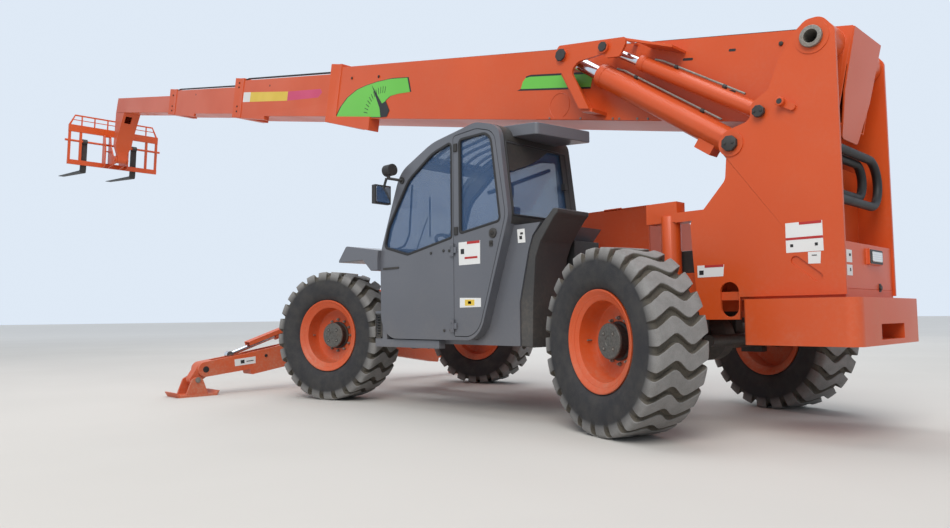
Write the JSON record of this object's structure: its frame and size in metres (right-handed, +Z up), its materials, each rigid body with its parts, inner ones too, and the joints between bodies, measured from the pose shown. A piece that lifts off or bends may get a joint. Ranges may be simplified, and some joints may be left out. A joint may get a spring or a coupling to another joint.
{
  "type": "telescopic handler",
  "caption": "Rough-terrain telescopic handler: four-part boom on a rear tower, pallet forks, left cab, side engine, steered wheels and swing-down front outriggers.",
  "frame": {"origin": "centre of the bounding box at ground level, with the boom as parked", "axes": "+X forward along the boom, +Y to the driver's left, +Z up"},
  "size_m": [17.5352, 4.63, 5.6705],
  "materials": {
    "orange_paint": "gloss paint",
    "grey_paint": "satin paint",
    "dark_paint": "satin paint",
    "black_steel": "satin paint",
    "engine_iron": "rough casting",
    "weight_iron": "painted casting",
    "chrome_rod": "polished",
    "rubber": "matt, dusty",
    "hose_rubber": "satin",
    "glass": "clear, tinted",
    "seat_cover": "matt vinyl",
    "cab_plastic": "matt"
  },
  "bodies": {
    "chassis": {"frame": "orange_paint", "leg_pins": "black_steel", "tower": "orange_paint", "counterweight": "weight_iron", "rear_box": "orange_paint", "boom_pin": "black_steel", "foot_pins": "black_steel", "cab_shell": "grey_paint", "cab_glass": "glass", "cab_roof": "grey_paint", "cab_base": "grey_paint", "cab_seat": "seat_cover", "cab_controls": "cab_plastic", "mirrors": "cab_plastic", "front_fender": "grey_paint", "rear_fender": "dark_paint", "engine_block": "engine_iron", "engine_pod": "orange_paint", "lock_cylinder": "orange_paint", "driveline": "black_steel", "hoses": "hose_rubber", "axle_front": "black_steel", "axle_rear": "black_steel"},
    "door": {"cab_door": "grey_paint", "cab_door_glass": "glass"},
    "hood": {"hood": "orange_paint"},
    "boom": {"boom_base": "orange_paint", "boom_brackets": "orange_paint"},
    "boom_2": {"boom_2": "orange_paint"},
    "boom_3": {"boom_3": "orange_paint"},
    "boom_4": {"boom_4": "orange_paint", "boom_head": "orange_paint"},
    "carriage": {"carriage": "orange_paint", "forks": "black_steel"},
    "lift_barrels": {"lift_barrels": "orange_paint"},
    "lift_rods": {"lift_rods": "chrome_rod"},
    "level_barrels": {"level_barrels": "orange_paint"},
    "level_rods": {"level_rods": "chrome_rod"},
    "leg_left": {"leg_arm_left": "orange_paint"},
    "foot_left": {"leg_foot_left": "orange_paint"},
    "leg_left_barrel": {"leg_barrel_left": "orange_paint"},
    "leg_left_rod": {"leg_rod_left": "chrome_rod"},
    "leg_right": {"leg_arm_right": "orange_paint"},
    "foot_right": {"leg_foot_right": "orange_paint"},
    "leg_right_barrel": {"leg_barrel_right": "orange_paint"},
    "leg_right_rod": {"leg_rod_right": "chrome_rod"},
    "knuckle_front_left": {"knuckle_front_left": "black_steel"},
    "wheel_front_left": {"rim_front_left": "orange_paint", "tyre_front_left": "rubber"},
    "knuckle_front_right": {"knuckle_front_right": "black_steel"},
    "wheel_front_right": {"rim_front_right": "orange_paint", "tyre_front_right": "rubber"},
    "knuckle_rear_left": {"knuckle_rear_left": "black_steel"},
    "wheel_rear_left": {"rim_rear_left": "orange_paint", "tyre_rear_left": "rubber"},
    "knuckle_rear_right": {"knuckle_rear_right": "black_steel"},
    "wheel_rear_right": {"rim_rear_right": "orange_paint", "tyre_rear_right": "rubber"}
  },
  "joints": [
    {"name": "boom_lift", "type": "hinge", "parent": "chassis", "child": "boom", "pos_m": [-8.50709, 0, 2.6905], "axis": [0, -1, 0], "range_deg": [-14.85, 58.15]},
    {"name": "telescope", "type": "slide", "parent": "boom", "child": "boom_2", "axis": [0.9787, 0, 0.2054], "range_m": [-2.4, 1.7]},
    {"name": "telescope_inner", "type": "slide", "parent": "boom_2", "child": "boom_3", "axis": [0.9787, 0, 0.2054], "range_m": [-2.281, 1.616]},
    {"name": "telescope_tip", "type": "slide", "parent": "boom_3", "child": "boom_4", "axis": [0.9787, 0, 0.2054], "range_m": [-1.681, 1.191]},
    {"name": "carriage_tilt", "type": "hinge", "parent": "boom_4", "child": "carriage", "pos_m": [6.51014, 0, 4.35987], "axis": [0, -1, 0], "range_deg": [-98, 15]},
    {"name": "lift_barrels_turn", "type": "hinge", "parent": "chassis", "child": "lift_barrels", "pos_m": [-7.91159, 0, 2.068], "axis": [0, -1, 0], "range_deg": [-13.64, 52.83]},
    {"name": "lift_rods_slide", "type": "slide", "parent": "lift_barrels", "child": "lift_rods", "axis": [0.8208, 0, 0.5711], "range_m": [-0.20675, 0.80378]},
    {"name": "level_barrels_turn", "type": "hinge", "parent": "chassis", "child": "level_barrels", "pos_m": [-8.13359, 0, 2.257], "axis": [0, -1, 0], "range_deg": [-13.86, 53.7]},
    {"name": "level_rods_slide", "type": "slide", "parent": "level_barrels", "child": "level_rods", "axis": [0.8446, 0, 0.5354], "range_m": [-0.13807, 0.53483]},
    {"name": "leg_left_swing", "type": "hinge", "parent": "chassis", "child": "leg_left", "pos_m": [-2.37259, 0.36, 0.49], "axis": [1, 0, 0], "range_deg": [0, 70]},
    {"name": "leg_left_barrel_turn", "type": "hinge", "parent": "chassis", "child": "leg_left_barrel", "pos_m": [-2.37259, 0.3, 0.903], "axis": [1, 0, 0], "range_deg": [-0.2, 71.25]},
    {"name": "leg_left_rod_slide", "type": "slide", "parent": "leg_left_barrel", "child": "leg_left_rod", "axis": [0, 0.9445, -0.3285], "range_m": [-0.48092, 0.002]},
    {"name": "foot_left_tilt", "type": "hinge", "parent": "leg_left", "child": "foot_left", "pos_m": [-2.37259, 2.075, 0.178], "axis": [1, 0, 0], "range_deg": [-25, 25]},
    {"name": "leg_right_swing", "type": "hinge", "parent": "chassis", "child": "leg_right", "pos_m": [-2.37259, -0.36, 0.49], "axis": [-1, 0, 0], "range_deg": [0, 70]},
    {"name": "leg_right_barrel_turn", "type": "hinge", "parent": "chassis", "child": "leg_right_barrel", "pos_m": [-2.37259, -0.3, 0.903], "axis": [-1, 0, 0], "range_deg": [-0.2, 71.25]},
    {"name": "leg_right_rod_slide", "type": "slide", "parent": "leg_right_barrel", "child": "leg_right_rod", "axis": [0, -0.9445, -0.3285], "range_m": [-0.48092, 0.002]},
    {"name": "foot_right_tilt", "type": "hinge", "parent": "leg_right", "child": "foot_right", "pos_m": [-2.37259, -2.075, 0.178], "axis": [1, 0, 0], "range_deg": [-25, 25]},
    {"name": "steer_front_left", "type": "hinge", "parent": "chassis", "child": "knuckle_front_left", "pos_m": [-3.74459, 0.898, 0.658], "axis": [0, 0, 1], "range_deg": [-43.8, 10.2]},
    {"name": "wheel_front_left_spin", "type": "hinge", "parent": "knuckle_front_left", "child": "wheel_front_left", "pos_m": [-3.81772, 1.1402, 0.658], "axis": [-0.289, 0.9573, 0], "continuous": true},
    {"name": "steer_front_right", "type": "hinge", "parent": "chassis", "child": "knuckle_front_right", "pos_m": [-3.74459, -0.898, 0.658], "axis": [0, 0, 1], "range_deg": [-43.9, 10.3]},
    {"name": "wheel_front_right_spin", "type": "hinge", "parent": "knuckle_front_right", "child": "wheel_front_right", "pos_m": [-3.67147, -1.1402, 0.658], "axis": [-0.289, 0.9573, 0], "continuous": true},
    {"name": "steer_rear_left", "type": "hinge", "parent": "chassis", "child": "knuckle_rear_left", "pos_m": [-7.42259, 0.898, 0.658], "axis": [0, 0, 1], "range_deg": [-9.5, 44.5]},
    {"name": "wheel_rear_left_spin", "type": "hinge", "parent": "knuckle_rear_left", "child": "wheel_rear_left", "pos_m": [-7.34651, 1.13929, 0.658], "axis": [0.3007, 0.9537, 0], "continuous": true},
    {"name": "steer_rear_right", "type": "hinge", "parent": "chassis", "child": "knuckle_rear_right", "pos_m": [-7.42259, -0.898, 0.658], "axis": [0, 0, 1], "range_deg": [-9.6, 44.6]},
    {"name": "wheel_rear_right_spin", "type": "hinge", "parent": "knuckle_rear_right", "child": "wheel_rear_right", "pos_m": [-7.49867, -1.13929, 0.658], "axis": [0.3007, 0.9537, 0], "continuous": true},
    {"name": "cab_door_hinge", "type": "hinge", "parent": "chassis", "child": "door", "pos_m": [-5.74259, 1.262, 1.2], "axis": [0, 0, -1], "range_deg": [0, 75]},
    {"name": "hood_hinge", "type": "hinge", "parent": "chassis", "child": "hood", "pos_m": [-5.92259, -0.438, 1.87], "axis": [-1, 0, 0], "range_deg": [0, 55]}
  ],
  "couplings": [
    {"joint": "telescope_inner", "follows": "telescope", "ratio": 0.95},
    {"joint": "telescope_tip", "follows": "telescope", "ratio": 0.7},
    {"joint": "lift_barrels_turn", "follows": "boom_lift", "ratio": 0.905},
    {"joint": "lift_rods_slide", "follows": "boom_lift", "m_per_rad": 0.79},
    {"joint": "level_barrels_turn", "follows": "boom_lift", "ratio": 0.92},
    {"joint": "level_rods_slide", "follows": "boom_lift", "m_per_rad": 0.525},
    {"joint": "leg_left_barrel_turn", "follows": "leg_left_swing", "ratio": 1.015},
    {"joint": "leg_left_rod_slide", "follows": "leg_left_swing", "m_per_rad": -0.392},
    {"joint": "leg_right_barrel_turn", "follows": "leg_right_swing", "ratio": 1.015},
    {"joint": "leg_right_rod_slide", "follows": "leg_right_swing", "m_per_rad": -0.392},
    {"joint": "steer_front_right", "follows": "steer_front_left", "ratio": 1},
    {"joint": "steer_rear_right", "follows": "steer_rear_left", "ratio": 1}
  ]
}
